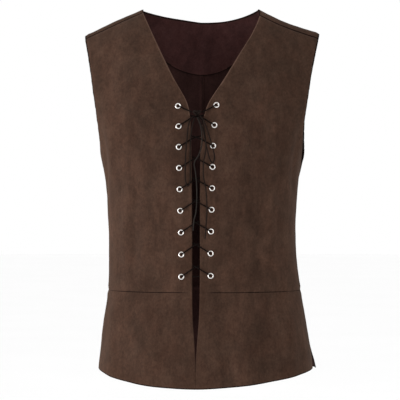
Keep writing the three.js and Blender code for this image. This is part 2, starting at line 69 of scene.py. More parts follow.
CLOTH = 2.0
SEAM_GAP = 0.3
SEWN_GAP = 0.0  # sewn edges meet here, and the solids' gap is closed
EDGE_MARGIN = 3.0
ROUNDNESS = 2.35
WAIST_Z, UNDERARM_Z, V_END_Z, VENT_TOP_Z = -518.0, -285.0, -200.0, -621.0
HEM_FRONT_Z, HEM_RISE, HEM_CURVE_LEFT, HEM_CURVE_RIGHT = -689.0, 26.2, 1.35, 1.65
VENT_SLIT = 5.0
NECK_X, TIP_X, SHOULDER_DROP, NECK_ROUND = 108.0, 217.0, 50.0, 45.0
LEFT_TIP_LIFT, LEFT_TIP_FROM = 12.0, 0.6
SHOULDER_SEAM_LEFT, SHOULDER_SEAM_RIGHT = 0.046, 0.0335  # rows from the ridge to the seam before it
BACK_NECK_ROW, BACK_NECK_CURVE_LEFT, BACK_NECK_CURVE_RIGHT = 0.836, 2, 1.5
OPENING_X = -2.0
ARMHOLE_ROUND, ARMHOLE_POINT = 130.0, 0.7
ARMHOLE_FRONT, ARMHOLE_BACK = 0.52, 0.46  # where its edge runs, in shares of the depth there
BACK_BLADES = 0.8  # share of the rows over which the back curves in to the ridge
NECK_STEP = 1.5  # over the ridge, the back's inner edge lies this far inside the front's
PASSES = 12


def columns(names, *rows):
    return {name: np.array([row[i] for row in rows], float) for i, name in enumerate(names.split())}


BODICE = columns(
    "z half lean back_out front back",
    (45, 230, 3, 0, 92, 96),
    (-50, 216.9, 3.4, 0, 100, 104),
    (-94, 208.3, 3.7, 0, 106, 110),
    (-131, 202.2, 3.5, 0, 112, 114),
    (-205, 190.7, 3.2, 2, 122, 115),
    (-242, 186.5, 3.5, 4, 125, 114),
    (-268, 185.2, 3, 5, 125, 113),
    (-285, 182.7, 3.3, 2.5, 124.5, 111.5),
    (-316, 177.8, 4.1, 0, 122.5, 109),
    (-353, 175.4, 3.9, 0, 119, 105),
    (-427, 172.8, 4.7, 0, 114, 99),
    (-480, 174, 6.2, 0, 114.5, 100),
    (-518, 177.4, 8, 0, 117, 104),
)
PEPLUM = columns(
    "z half lean back_out front back",
    (-518, 177.4, 8, 0, 117, 104),
    (-538, 180.4, 8.3, 0, 119.5, 107),
    (-575, 186.5, 8.4, 0, 123, 112),
    (-621, 191.9, 10.2, 0, 126.5, 117),
    (-662, 197, 10.5, 6, 129, 120),
    (-700, 201, 11, 7, 131, 123),
)
FRONT_EDGE = columns(
    "z left right",
    (0, 110, 107),
    (-14, 111, 101),
    (-48, 98, 85),
    (-90, 74, 65),
    (-138, 46, 41),
    (-176, 22, 19.5),
    (-200, 13, 13),
    (-235, 7.5, 10.5),
    (-353, 5, 9.2),
    (-518, 4.6, 8.8),
    (-565, 3.3, 7.7),
    (-620, -0.6, 3.7),
    (-655, -2, 2),
    (-700, -2, 2),
)


def column(table, name, z):
    """A table's column at heights z, as a smooth curve through its rows, which run downwards."""
    heights, values = table["z"], table[name]
    z = np.asarray(z, float)
    last = len(heights) - 1
    i = np.clip(np.searchsorted(-heights, -z, side="right") - 1, 0, last - 1)
    rows = np.arange(last + 1)
    before, after = np.maximum(rows - 1, 0), np.minimum(rows + 1, last)
    slopes = (values[after] - values[before]) / (heights[after] - heights[before])
    span = heights[i + 1] - heights[i]
    t = np.clip((z - heights[i]) / span, 0, 1)
    ease = t * t * (3 - 2 * t)
    bend = span * t * (1 - t) * ((1 - t) * slopes[i] - t * slopes[i + 1])
    return values[i] + (values[i + 1] - values[i]) * ease + bend


def lerp(a, b, t):
    return a + (b - a) * t


def rounded_abs(x):
    return np.hypot(x, NECK_ROUND)


def ridge_z(x):
    at_neck = rounded_abs(NECK_X)
    slope = SHOULDER_DROP * (at_neck - rounded_abs(x)) / (rounded_abs(TIP_X) - at_neck)
    outwards = np.maximum((x - NECK_X) / (TIP_X - NECK_X), 0)
    return slope + LEFT_TIP_LIFT * outwards * (outwards - LEFT_TIP_FROM)


def row_z(x, row):
    """Rows run from -1 at the waist, through 0 at the underarm, to 1 on the shoulder ridge."""
    return np.where(row < 0, lerp(UNDERARM_Z, WAIST_Z, -row), lerp(UNDERARM_Z, ridge_z(x), row))


def row_of(x, z):
    below = (z - UNDERARM_Z) / (UNDERARM_Z - WAIST_Z)
    return np.where(z < UNDERARM_Z, below, (z - UNDERARM_Z) / (ridge_z(x) - UNDERARM_Z))


def section(on_front, side, z, table=BODICE):
    """Depth, angle of the true edge, and width of the superellipse that half a section is an arc of."""
    depth = np.where(on_front, column(table, "front", z), column(table, "back", z))
    only_left = np.where(side < 0, 0, 1) if table is PEPLUM else 1
    out = np.where(on_front, 0, column(table, "back_out", z)) * only_left
    edge = column(table, "half", z) + side * column(table, "lean", z) + out
    if table is PEPLUM:
        slit = np.clip((VENT_TOP_Z - z) / (VENT_TOP_Z - HEM_FRONT_Z - HEM_RISE), 0, 1)
        edge_depth = SEWN_GAP / 2 + VENT_SLIT * slit
    else:
        up = np.clip((z - UNDERARM_Z) / ARMHOLE_ROUND, 0, 1)
        arm_depth = np.where(on_front, ARMHOLE_FRONT, ARMHOLE_BACK)
        edge_depth = np.maximum(SEWN_GAP / 2, arm_depth * depth * (1 - (1 - up) ** 2) ** ARMHOLE_POINT)
    angle = np.arccos((edge_depth / depth) ** (ROUNDNESS / 2))
    return depth, angle, edge / np.sin(angle) ** (2 / ROUNDNESS)


def angle_at(wide, out):
    """The angle of the point this far out on its side; both are negative past the body's middle."""
    return np.sign(out) * np.arcsin(np.clip(np.abs(out) / wide, 0, 1) ** (ROUNDNESS / 2))


def out_at(wide, angle):
    return np.sign(angle) * wide * np.abs(np.sin(angle)) ** (2 / ROUNDNESS)


def shoulder_share(on_front, row):
    """How much of the full depth a row has, from 0 on the shoulder ridge."""
    down = np.clip(1 - (1 - row) / np.where(on_front, 1, BACK_BLADES), 0, 1)
    return np.where(row <= 0, 1, np.sin(np.arccos(down)))


def y_on(on_front, depth, angle):
    return np.where(on_front, -1, 1) * depth * np.cos(angle) ** (2 / ROUNDNESS)


def surface_at(on_front, x, z):
    """Points of the outside of the front or the back at x and z, on the bodice or the peplum."""
    x, z = np.broadcast_arrays(np.asarray(x, float), np.asarray(z, float))
    side = np.where(x < 0, -1, 1)
    y = np.zeros_like(x)
    for table, here in ((BODICE, z >= WAIST_Z), (PEPLUM, z < WAIST_Z)):
        depth, _, wide = section(on_front, side, z, table)
        y = np.where(here, y_on(on_front, depth, angle_at(wide, x)), y)
    y = y * shoulder_share(on_front, np.where(z < WAIST_Z, -1, row_of(x, z)))
    return np.stack([x, y, z], -1)


def front_edge_x(side, z):
    return side * np.where(side > 0, column(FRONT_EDGE, "left", z), column(FRONT_EDGE, "right", z))


def back_neck_curve(side):
    return np.where(side > 0, BACK_NECK_CURVE_LEFT, BACK_NECK_CURVE_RIGHT)


def back_inner_x(side, z, row):
    """The centre back seam, then the neckline up to the ridge and over it to the shoulder seam."""
    along = np.clip((row - BACK_NECK_ROW) / (1 - BACK_NECK_ROW), 0, 1)
    inner = side * np.maximum(NECK_X * along ** (1 / back_neck_curve(side)), SEWN_GAP / 2)
    return np.where(row > 1, front_edge_x(side, z) - side * NECK_STEP, inner)


def bodice_points(is_front, side, u, row):
    """Points of a front or a back: u runs from its inner edge to the side, and row runs upwards."""
    over = row > 1
    on_front = over | is_front
    face_row = np.where(over, 2 - row, row)
    share = shoulder_share(on_front, face_row)
    inner = (lambda z: front_edge_x(side, z)) if is_front else (lambda z: back_inner_x(side, z, row))
    x = side * lerp(np.abs(inner(WAIST_Z)), TIP_X, u)
    z = row_z(x, face_row)
    for _ in range(PASSES):
        depth, edge_angle, wide = section(on_front, side, z)
        angle = lerp(angle_at(wide, side * inner(z)), edge_angle, u)
        x = side * out_at(wide, angle)
        y = y_on(on_front, depth, angle) * share
        z = row_z(x, face_row)
    return np.stack([x, y, z], -1)


def peplum_points(is_front, side, u, v):
    """Points of a peplum piece: v runs from the waist seam down to the hem."""
    curve = np.where(side > 0, HEM_CURVE_LEFT, HEM_CURVE_RIGHT)
    z = lerp(WAIST_Z - SEWN_GAP / 2, HEM_FRONT_Z + HEM_RISE * np.sin(np.pi / 2 * u**curve), v)
    depth, edge_angle, wide = section(is_front, side, z, PEPLUM)
    inner = front_edge_x(side, z) if is_front else 0 * z
    angle = lerp(angle_at(wide, side * inner), edge_angle, u)
    x = side * out_at(wide, angle)
    return np.stack([x, y_on(is_front, depth, angle), z], -1)


# ---------- creases and waves ----------

# A crease's height (a trough is negative), its width, and the places (x, z) that it passes.
FRONT_CREASES = [
    (1.9, 11, [(-128, -330), (-131, -420), (-127, -512)]),
    (-1.5, 10, [(-111, -350), (-114, -430), (-110, -505)]),
    (1.2, 12, [(-92, -370), (-95, -440), (-98, -508)]),
    (-1.6, 9, [(-182, -205), (-170, -258), (-168, -310), (-172, -352)]),
    (1.5, 11, [(-170, -190), (-158, -250), (-155, -318)]),
    (-1.1, 14, [(-150, -62), (-163, -120), (-168, -178)]),
    (1.1, 16, [(-118, -70), (-122, -150), (-112, -230)]),
    (-0.9, 15, [(-86, -120), (-72, -190), (-58, -255)]),
    (-1.3, 9, [(-160, -455), (-128, -476), (-92, -470)]),
    (1.0, 10, [(-166, -480), (-130, -496), (-84, -489)]),
    (-0.8, 8, [(-50, -425), (-78, -440), (-104, -436)]),
    (1.6, 12, [(94, -335), (90, -420), (97, -510)]),
    (-1.4, 10, [(112, -330), (109, -425), (114, -508)]),
    (1.8, 12, [(132, -318), (130, -410), (136, -506)]),
    (-1.6, 9, [(187, -212), (176, -262), (172, -315), (176, -349)]),
    (1.4, 12, [(172, -200), (160, -262), (152, -330)]),
    (-1.2, 14, [(158, -66), (168, -124), (170, -186)]),
    (1.2, 17, [(112, -84), (124, -165), (118, -240)]),
    (-1.0, 13, [(150, -196), (130, -222), (116, -262)]),
    (-1.3, 9, [(168, -448), (140, -470), (98, -462)]),
    (0.9, 10, [(172, -474), (136, -492), (92, -484)]),
    (-0.8, 8, [(52, -398), (82, -410), (106, -402)]),
]
PEPLUM_CREASES = [  # the first value says whether it is on the front
    (True, 2.4, 17, [(-148, -524), (-154, -600), (-160, -740)]),
    (True, -1.9, 15, [(-118, -522), (-122, -610), (-126, -740)]),
    (True, 1.7, 18, [(-84, -524), (-86, -610), (-90, -740)]),
    (True, -1.3, 16, [(-48, -528), (-46, -615), (-47, -740)]),
    (True, -1.4, 17, [(46, -526), (50, -610), (52, -740)]),
    (True, 1.9, 18, [(86, -523), (90, -610), (92, -740)]),
    (True, -2.0, 15, [(124, -524), (130, -600), (134, -740)]),
    (True, 2.3, 16, [(158, -522), (166, -610), (172, -740)]),
    (False, 2.2, 18, [(-150, -524), (-156, -610), (-161, -740)]),
    (False, -2.0, 16, [(-112, -522), (-115, -615), (-118, -740)]),
    (False, 2.1, 19, [(-72, -526), (-74, -610), (-76, -740)]),
    (False, -1.7, 16, [(-30, -524), (-33, -600), (-35, -740)]),
    (False, 1.8, 18, [(12, -526), (14, -612), (15, -740)]),
    (False, -1.9, 16, [(55, -523), (58, -610), (60, -740)]),
    (False, 2.2, 18, [(98, -524), (102, -610), (106, -740)]),
    (False, -2.0, 16, [(140, -522), (147, -606), (152, -740)]),
]
BACK_CREASES = [
    (1.8, 13, [(-126, -330), (-130, -430), (-126, -510)]),
    (-1.5, 11, [(-104, -345), (-107, -430), (-103, -506)]),
    (1.3, 12, [(-62, -390), (-66, -450), (-60, -508)]),
    (-1.4, 12, [(-26, -372), (-31, -440), (-27, -504)]),
    (-1.5, 10, [(-178, -214), (-168, -262), (-160, -318)]),
    (1.4, 12, [(-158, -196), (-146, -262), (-132, -330)]),
    (-1.2, 15, [(-130, -66), (-142, -130), (-132, -196)]),
    (1.2, 16, [(-92, -84), (-96, -160), (-84, -236)]),
    (-1.1, 11, [(-120, -462), (-72, -480), (-18, -474)]),
    (1.0, 11, [(-128, -482), (-66, -498), (-12, -492)]),
    (1.6, 12, [(128, -322), (131, -424), (128, -510)]),
    (-1.6, 11, [(106, -338), (104, -430), (108, -504)]),
    (1.3, 13, [(66, -380), (60, -446), (63, -508)]),
    (-1.3, 12, [(30, -364), (27, -436), (31, -506)]),
    (-1.4, 10, [(180, -208), (170, -262), (164, -322)]),
    (1.5, 12, [(160, -204), (149, -266), (138, -326)]),
    (-1.1, 15, [(134, -70), (144, -134), (136, -204)]),
    (1.1, 16, [(88, -92), (95, -166), (90, -230)]),
    (-1.2, 11, [(118, -450), (70, -468), (14, -462)]),
    (0.9, 11, [(122, -474), (68, -490), (16, -486)]),
]

# Long soft waves of the cloth: height, and the direction and phase of each wave.
WAVES = [
    (0.55, (0.031, 0.012, 0.019), 0.4),
    (0.45, (-0.017, 0.024, 0.034), 2.1),
    (0.40, (0.048, -0.020, -0.011), 4.0),
    (0.22, (0.074, 0.051, 0.036), 1.3),
    (0.18, (-0.062, 0.043, 0.085), 5.2),
    (0.07, (0.21, 0.16, 0.13), 0.9),
    (0.06, (-0.17, 0.12, 0.26), 3.3),
]


def smooth_line(points, steps):
    """A smooth curve through points, centripetal, with so many steps between two of them."""
    points = np.asarray(points, float)
    padded = np.vstack([2 * points[0] - points[1], points, 2 * points[-1] - points[-2]])
    gaps = np.maximum(np.linalg.norm(np.diff(padded, axis=0), axis=1) ** 0.5, 1e-4)
    line = []
    for i in range(1, len(padded) - 2):
        p0, p1, p2, p3 = padded[i - 1 : i + 3]
        d0, d1, d2 = gaps[i - 1 : i + 2]
        start = ((p1 - p0) / d0 - (p2 - p0) / (d0 + d1) + (p2 - p1) / d1) * d1
        end = ((p2 - p1) / d1 - (p3 - p1) / (d1 + d2) + (p3 - p2) / d2) * d1
        t = (np.arange(steps) / steps)[:, None]
        ease = t * t * (3 - 2 * t)
        line.append(p1 + (p2 - p1) * ease + t * (1 - t) * ((1 - t) * start - t * end))
    return np.vstack([*line, points[-1:]])


CREASE_DEPTH = 1.45  # the creases' heights are drawn this much larger
CREASE_ENDS = 0.7  # a smaller power keeps a crease's height closer to its ends
CREASE_STEPS = 6


def gather_creases():
    found = []
    rows = [(True, *c) for c in FRONT_CREASES] + [(False, *c) for c in BACK_CREASES] + PEPLUM_CREASES
    for on_front, height, width, line in rows:
        flat = smooth_line(line, CREASE_STEPS)
        found.append((height, width, surface_at(on_front, flat[:, 0], flat[:, 1])))
    return found


CREASES = gather_creases()


def nearest(points, line):
    """Each point's distance from a line, and how far along it, from 0 to 1, the nearest place is."""
    best = np.full(len(points), 1e9)
    along = np.zeros(len(points))
    count = len(line) - 1
    for i in range(count):
        a, d = line[i], line[i + 1] - line[i]
        t = np.clip((points - a) @ d / max(d @ d, 1e-9), 0, 1)
        gap = np.linalg.norm(points - a - t[:, None] * d, axis=1)
        closer = gap < best
        best = np.where(closer, gap, best)
        along = np.where(closer, (i + t) / count, along)
    return best, along


def relief(points):
    """How far the cloth stands out from its filled shape at these points."""
    flat = points.reshape(-1, 3)
    height = np.zeros(len(flat))
    for size, direction, phase in WAVES:
        height += size * np.sin(flat @ np.array(direction) + phase)
    for size, width, line in CREASES:
        near = np.all((flat > line.min(0) - 3 * width) & (flat < line.max(0) + 3 * width), axis=1)
        if near.any():
            gap, along = nearest(flat[near], line)
            swell = CREASE_DEPTH * size * np.exp(-((gap / width) ** 2))
            height[near] += swell * np.sin(np.pi * along) ** CREASE_ENDS
    return height.reshape(points.shape[:-1])


# ---------- materials ----------


def new_material(name):
    """A material with its node tree, its shader, and places in the object's own space."""
    material = bpy.data.materials.new(name)
    material.use_nodes = True
    tree = material.node_tree
    place = tree.nodes.new("ShaderNodeTexCoord").outputs["Object"]
    return material, tree, tree.nodes["Principled BSDF"], place


def noise(tree, where, scale, detail, roughness=0.55, stretch=(1, 1, 1), turn=(0, 0, 0), warp=0.0):
    """A noise in object space; scale is in cells for each metre."""
    mapping = tree.nodes.new("ShaderNodeMapping")
    mapping.inputs["Scale"].default_value = stretch
    mapping.inputs["Rotation"].default_value = turn
    tree.links.new(where, mapping.inputs["Vector"])
    texture = tree.nodes.new("ShaderNodeTexNoise")
    texture.inputs["Scale"].default_value = scale
    texture.inputs["Detail"].default_value = detail
    texture.inputs["Roughness"].default_value = roughness
    texture.inputs["Distortion"].default_value = warp
    tree.links.new(mapping.outputs["Vector"], texture.inputs["Vector"])
    return texture.outputs["Fac"]


def ramp(tree, factor, *stops):
    node = tree.nodes.new("ShaderNodeValToRGB")
    elements = node.color_ramp.elements
    while len(elements) < len(stops):
        elements.new(0.5)
    for element, (place, colour) in zip(elements, stops):
        element.position = place
        element.color = (*colour, 1)
    tree.links.new(factor, node.inputs["Fac"])
    return node.outputs["Color"]


def mix(tree, kind, factor, a, b):
    node = tree.nodes.new("ShaderNodeMix")
    node.data_type = "RGBA"
    node.blend_type = kind
    node.inputs["Factor"].default_value = factor
    tree.links.new(a, node.inputs["A"])
    tree.links.new(b, node.inputs["B"])
    return node.outputs["Result"]


def bump(tree, height, strength, distance, under=None):
    node = tree.nodes.new("ShaderNodeBump")
    node.inputs["Strength"].default_value = strength
    node.inputs["Distance"].default_value = distance
    tree.links.new(height, node.inputs["Height"])
    if under:
        tree.links.new(under, node.inputs["Normal"])
    return node.outputs["Normal"]


def grey(value):
    return (value, value, value)


def shade(tree, colour, share, texture, dark, pale):
    """Makes a colour darker and lighter by a texture: dark and pale are (texture's value, grey)."""
    greys = ramp(tree, texture, (dark[0], grey(dark[1])), (pale[0], grey(pale[1])))
    return mix(tree, "MULTIPLY", share, colour, greys)


def roughen(tree, shader, texture, low, high):
    spread = tree.nodes.new("ShaderNodeMapRange")
    spread.inputs["To Min"].default_value = low
    spread.inputs["To Max"].default_value = high
    tree.links.new(texture, spread.inputs["Value"])
    tree.links.new(spread.outputs["Result"], shader.inputs["Roughness"])


REDDER, GREENER = (1.03, 0.985, 0.97), (0.97, 1.015, 1.03)  # slight drift of the dye's colour


def suede(name, dark, light, sheen, nap=1.0):
    """Brushed faux suede: patches where the nap lies another way, short streaks and a fine grain."""
    material, tree, shader, place = new_material(name)
    patches = noise(tree, place, 19, 4, 0.6, (1, 1, 0.75), (0.3, 0.2, 0.5), 0.6)
    colour = ramp(tree, patches, (0.36, dark), (0.65, light))
    zones = noise(tree, place, 13, 3, 0.55, (1, 1, 0.35), (0.08, 0.1, 0), 0.4)
    colour = shade(tree, colour, nap, zones, (0.36, 0.9), (0.64, 1.1))
    drift = noise(tree, place, 34, 3, 0.6, (1, 1, 0.8), (0.2, 0.4, 0.1))
    colour = mix(tree, "MULTIPLY", nap, colour, ramp(tree, drift, (0.3, REDDER), (0.7, GREENER)))
    clouds = noise(tree, place, 62, 5, 0.62, (1, 1, 0.8), (0.5, 0.1, 0.2), 0.8)
    colour = shade(tree, colour, nap, clouds, (0.32, 0.84), (0.7, 1.16))
    flecks = noise(tree, place, 310, 3, 0.6, (1, 1, 0.7), (0.4, 0.1, 0.3))
    colour = shade(tree, colour, nap, flecks, (0.3, 0.8), (0.7, 1.2))
    streaks = noise(tree, place, 85, 3, 0.6, (1, 1, 0.16), (0.06, 0.05, 0))
    colour = shade(tree, colour, 0.7 * nap, streaks, (0.3, 0.82), (0.7, 1.16))
    grain = noise(tree, place, 900, 3, 0.7)
    colour = shade(tree, colour, 0.8, grain, (0.3, 0.82), (0.7, 1.17))
    tree.links.new(colour, shader.inputs["Base Color"])
    roughen(tree, shader, clouds, 0.86, 1.0)
    lumps = bump(tree, clouds, 0.25, 0.0012)
    tree.links.new(bump(tree, grain, 0.5, 0.0003, lumps), shader.inputs["Normal"])
    shader.inputs["Specular IOR Level"].default_value = 0.02
    shader.inputs["Sheen Weight"].default_value = sheen
    shader.inputs["Sheen Roughness"].default_value = 0.55
    shader.inputs["Sheen Tint"].default_value = (0.72, 0.55, 0.45, 1)
    return material


def nickel():
    material, tree, shader, place = new_material("bright_nickel")
    wear = noise(tree, place, 420, 4, 0.6)
    colour = ramp(tree, wear, (0.3, (0.66, 0.635, 0.61)), (0.7, (0.77, 0.745, 0.72)))
    tree.links.new(colour, shader.inputs["Base Color"])
    roughen(tree, shader, wear, 0.24, 0.38)
    tree.links.new(bump(tree, noise(tree, place, 1500, 2), 0.06, 0.0001), shader.inputs["Normal"])
    shader.inputs["Metallic"].default_value = 1.0
    return material


def braid(name, dark, light):
    """Braided lace, faded in places, with fine fibres."""
    material, tree, shader, place = new_material(name)
    fibres = noise(tree, place, 1400, 3, 0.65)
    fading = noise(tree, place, 55, 3)
    colour = ramp(tree, fading, (0.3, dark), (0.72, light))
    colour = shade(tree, colour, 0.9, fibres, (0.3, 0.65), (0.7, 1.4))
    tree.links.new(colour, shader.inputs["Base Color"])
    tree.links.new(bump(tree, fibres, 0.5, 0.0002), shader.inputs["Normal"])
    shader.inputs["Roughness"].default_value = 0.7
    shader.inputs["Specular IOR Level"].default_value = 0.03
    return material


SUEDE = suede("brown_suede", (0.0298, 0.0159, 0.0107), (0.0408, 0.0218, 0.0147), 0.06)
SUEDE_INSIDE = suede("brown_suede_inside", (0.020, 0.0088, 0.0078), (0.027, 0.0120, 0.0106), 0.02, 0.7)
# Painted shade: near-black suede for the rims of seams, edges and the facing, where turned cloth falls
# into shadow.
SUEDE_PAINTED_SHADE = suede("brown_suede_painted_shade", (0.0066, 0.0036, 0.0027), (0.0092, 0.0050, 0.0037), 0.01, 0.6)
# Partly the cut edge's own paler colour, and partly painted highlight where the V-neck's rounded edge
# catches the light.
SUEDE_CUT_AND_HIGHLIGHT = suede("brown_suede_cut_and_highlight", (0.052, 0.0295, 0.0205), (0.068, 0.039, 0.028), 0.06, 0.7)
FACING_CLOTH = suede("brown_facing", (0.0295, 0.0120, 0.0112), (0.0400, 0.0165, 0.0153), 0.02, 0.8)
NICKEL = nickel()
BRAID = braid("braided_lace", (0.0062, 0.0040, 0.0032), (0.0112, 0.0074, 0.0060))
# One lace in painted copies: painted shade on the runs pulled tight on the cloth, painted highlight on the
# end over the opening.
BRAID_PAINTED_SHADE = braid("braided_lace_painted_shade", (0.0030, 0.0019, 0.0015), (0.0055, 0.0035, 0.0028))
BRAID_PAINTED_HIGHLIGHT = braid("braided_lace_painted_highlight", (0.0112, 0.0091, 0.0078), (0.0180, 0.0150, 0.0129))

# ---------- meshes ----------

EDGE = CLOTH / 2  # that radius
EDGE_STEPS = np.array([0, 0.076, 0.293, 0.617, 1, 1.9, 3.4])  # in radii of the cloth's rounded edge
ROW_OF_MM = 0.0021  # share of the armhole's rows in a millimetre of cloth by the shoulder seam


def new_piece(name, points, faces, materials, marks=None):
    mesh = bpy.data.meshes.new(name)
    mesh.from_pydata((np.asarray(points) * MM).tolist(), [], [tuple(int(i) for i in f) for f in faces])
    for material in materials:
        mesh.materials.append(material)
    if marks is not None:
        mesh.polygons.foreach_set("material_index", np.asarray(marks, np.int32))
    mesh.shade_smooth()
    mesh.update()
    piece = bpy.data.objects.new(name, mesh)
    bpy.context.scene.collection.objects.link(piece)
    return piece


def settle(piece, slot, *nodes):
    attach(piece, "root")
    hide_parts(*nodes)
    return piece


def shares(length, count):
    """Shares of a length, closer together at its ends, where the cloth's edge is rounded."""
    ends = EDGE_STEPS * EDGE / length
    middle = np.linspace(ends[-1], 1 - ends[-1], count + 1)[1:-1]
    return np.concatenate([ends, middle, 1 - ends[::-1]])


INSIDE_BELOW, INSIDE_TOP_Z = 80, -200  # a point's inside is this far below it, on the middle line


def outward_normals(base, level):
    """The grid's normals, and whether its faces have to be turned. Level flattens them in each row."""
    normal = np.cross(np.gradient(base, axis=1), np.gradient(base, axis=0))
    normal[..., 2] *= level[:, None]
    normal /= np.maximum(np.linalg.norm(normal, axis=-1, keepdims=True), 1e-12)
    middle = np.zeros_like(base)
    middle[..., 2] = np.minimum(base[..., 2] - INSIDE_BELOW, INSIDE_TOP_Z)
    inwards = np.sum(normal * (base - middle), axis=-1, keepdims=True) < 0
    return np.where(inwards, -normal, normal), bool(np.median(inwards) > 0.5)


STITCH_WAY = np.array([1, 0.8, 1])  # stitches are told apart by their place along this
STITCH, STITCH_BEAT, STITCH_DRIFT = 2.3, 7.1, 19.0  # lengths over which their pull comes and goes
SEAM_DIP = {"deep": 0.75, "wide": 3.2, "swell": 0.35, "swell_at": 8, "swell_wide": 4, "fade": 0.07}


def seam_dip(points, line):
    """How far the cloth is drawn in beside a seam, unevenly, as its stitches pull it."""
    flat = points.reshape(-1, 3)
    gap, along = nearest(flat, line)
    place = flat @ STITCH_WAY
    pull = 1 + 0.35 * np.sin(place / STITCH) * np.sin(place / STITCH_BEAT + 1)
    pull = pull + 0.25 * np.sin(place / STITCH_DRIFT)
    dip = SEAM_DIP["deep"] * pull * np.exp(-((gap / SEAM_DIP["wide"]) ** 2))
    swell = np.exp(-(((gap - SEAM_DIP["swell_at"]) / SEAM_DIP["swell_wide"]) ** 2))
    dip = dip - SEAM_DIP["swell"] * swell
    fade = np.clip(np.minimum(along, 1 - along) / SEAM_DIP["fade"], 0, 1) ** 0.5
    return (dip * fade).reshape(points.shape[:-1])


# Dark is painted shade at the rims of seams and edges; pale is the cut edge's own lighter colour with
# painted highlight.
OUTSIDE, INSIDE, DARK, PALE = 0, 1, 2, 3  # places in a piece's list of materials


def edge(draw=0.0, groove=1.0, rim=2.6, look=DARK, both=True):
    """How an edge of a piece is made; any of these may be a list with a value for each row or column.

    Draw is how strongly it is drawn in by stitches, groove is the roundness of its edge, and rim is
    the width of cloth beside it that has another look, on both faces or on the outside alone; that
    look is painted shade unless another is given."""
    return {"draw": draw, "groove": groove, "rim": rim, "look": look, "both": both}


# These edges' rims are painted shade where a seam's groove or a turned edge falls into shadow; the back's
# shoulder rim is wider for the seam's shadow line.
FREE = edge()
SEAM = edge(1.0, 0.8, 1.0, both=False)
CENTRE_SEAM = edge(1.0, 0.12, 0.6)
ARMHOLE = edge(1.3, 1.0, 3.8)
VENT = edge(rim=1.45)
SHOULDER_OF_FRONT, SHOULDER_OF_BACK = edge(0.9, 1.0, 1.45), edge(0.9, 1.0, 2.9)
WAIST_FROM, WAIST_OPENS = 0.02, 0.08  # the waist line starts here, in shares of a piece's width
WAIST_FADES_FROM, WAIST_FADES = 0.35, 0.35
CLOSED_GROOVE, CLOSED_RIM = 0.12, 0.05  # of the waist seam where its line doesn't show
STAND_OFF_WIDE = 9.0  # beside a free low edge
ALLOWANCE = {"from": 0.3, "rise": 0.6, "to": 3.4, "fall": 0.9}  # distances from the edge


def either(here, one, other, both=True):
    """An edge that is made one way where here holds, and another way elsewhere."""
    return edge(*(np.where(here, one[k], other[k]) for k in ("draw", "groove", "rim")), both=both)


def cloth(name, base, level, edges, materials, thick=CLOTH, depth=0.0, stands_off=0.0, allowance=0.0):
    """A piece of cloth whose outside lies on a grid of points, with rounded edges.

    Edges says how its first and last columns and its low and high rows are made. Its low edge stands
    off towards the inside, and its first edge has a pressed seam allowance inside."""
    normal, flipped = outward_normals(base, level)
    lines = {"first": base[:, 0], "last": base[:, -1], "low": base[0], "high": base[-1]}
    flat = base.reshape(-1, 3)
    height = relief(base) - depth
    round_off = np.zeros(base.shape[:2])
    looks = [np.full(round_off[1:, 1:].shape, face) for face in (OUTSIDE, INSIDE)]
    radius = thick / 2
    for place, line in lines.items():
        made = edges[place]
        gap = nearest(flat, line)[0].reshape(round_off.shape)
        spread = (lambda v: np.reshape(v, (-1, 1))) if place in ("first", "last") else np.asarray
        height -= spread(made["draw"]) * seam_dip(base, line)
        near_edge = np.clip(1 - gap / (radius * spread(made["groove"])), 0, 1)
        round_off = np.maximum(round_off, radius * (1 - np.sqrt(1 - near_edge**2)))
        within = gap <= spread(made["rim"])
        on_rim = within[:-1, :-1] & within[1:, 1:]
        look = (spread(made["look"]) + np.zeros(gap.shape, int))[1:, 1:]
        for face in (0, 1) if made["both"] else (0,):
            looks[face] = np.where(on_rim, look, looks[face])
    if stands_off:
        gap = nearest(flat, base[0])[0].reshape(round_off.shape)
        height -= stands_off * np.exp(-((gap / STAND_OFF_WIDE) ** 2))
    gap = nearest(flat, base[:, 0])[0].reshape(round_off.shape)
    pressed = allowance * np.clip((gap - ALLOWANCE["from"]) / ALLOWANCE["rise"], 0, 1)
    pressed = pressed * np.clip((ALLOWANCE["to"] - gap) / ALLOWANCE["fall"], 0, 1)
    outside = base + normal * (height - round_off)[..., None]
    inside = base + normal * (height - thick + round_off - pressed)[..., None]
    rows, cols = round_off.shape
    inner = np.zeros((rows, cols), bool)
    inner[1:-1, 1:-1] = True
    outer_at = np.arange(rows * cols).reshape(rows, cols)
    inner_at = outer_at.copy()
    inner_at[inner] = rows * cols + np.arange(inner.sum())
    faces = []
    for at, turned in ((outer_at, flipped), (inner_at, not flipped)):
        quads = np.stack([at[:-1, :-1], at[:-1, 1:], at[1:, 1:], at[1:, :-1]], -1)
        faces.append((quads[..., ::-1] if turned else quads).reshape(-1, 4))
    points = np.vstack([outside.reshape(-1, 3), inside[inner]])
    marks = np.concatenate([look.reshape(-1) for look in looks])
    return new_piece(name, points, np.vstack(faces), materials, marks)


# Each piece's width and height in millimetres, and the steps across and up it between its edges.
PEPLUM_FRONT_GRID = (190, 165), (62, 44)
PEPLUM_BACK_GRID = (380, 155), (124, 44)
FACING_GRID = (260, 90), (96, 40)
BODICE_WIDTH, BODICE_COLUMNS, ROWS_TO_UNDERARM, FRONT_ROWS, BACK_ROWS = 150, 62, 62, 84, 66
LEVEL_ROW = 0.3  # from the underarm up to this row, the bodice's normals turn from level to free
RIDGE_REACH = 160.0  # cloth from the ridge to a seam, for each root of the seam's share of the rows


def grid(lengths, counts):
    return np.meshgrid(*(shares(length, count) for length, count in zip(lengths, counts)))


def bodice_level(row):
    return np.clip(row / LEVEL_ROW, 0, 1)


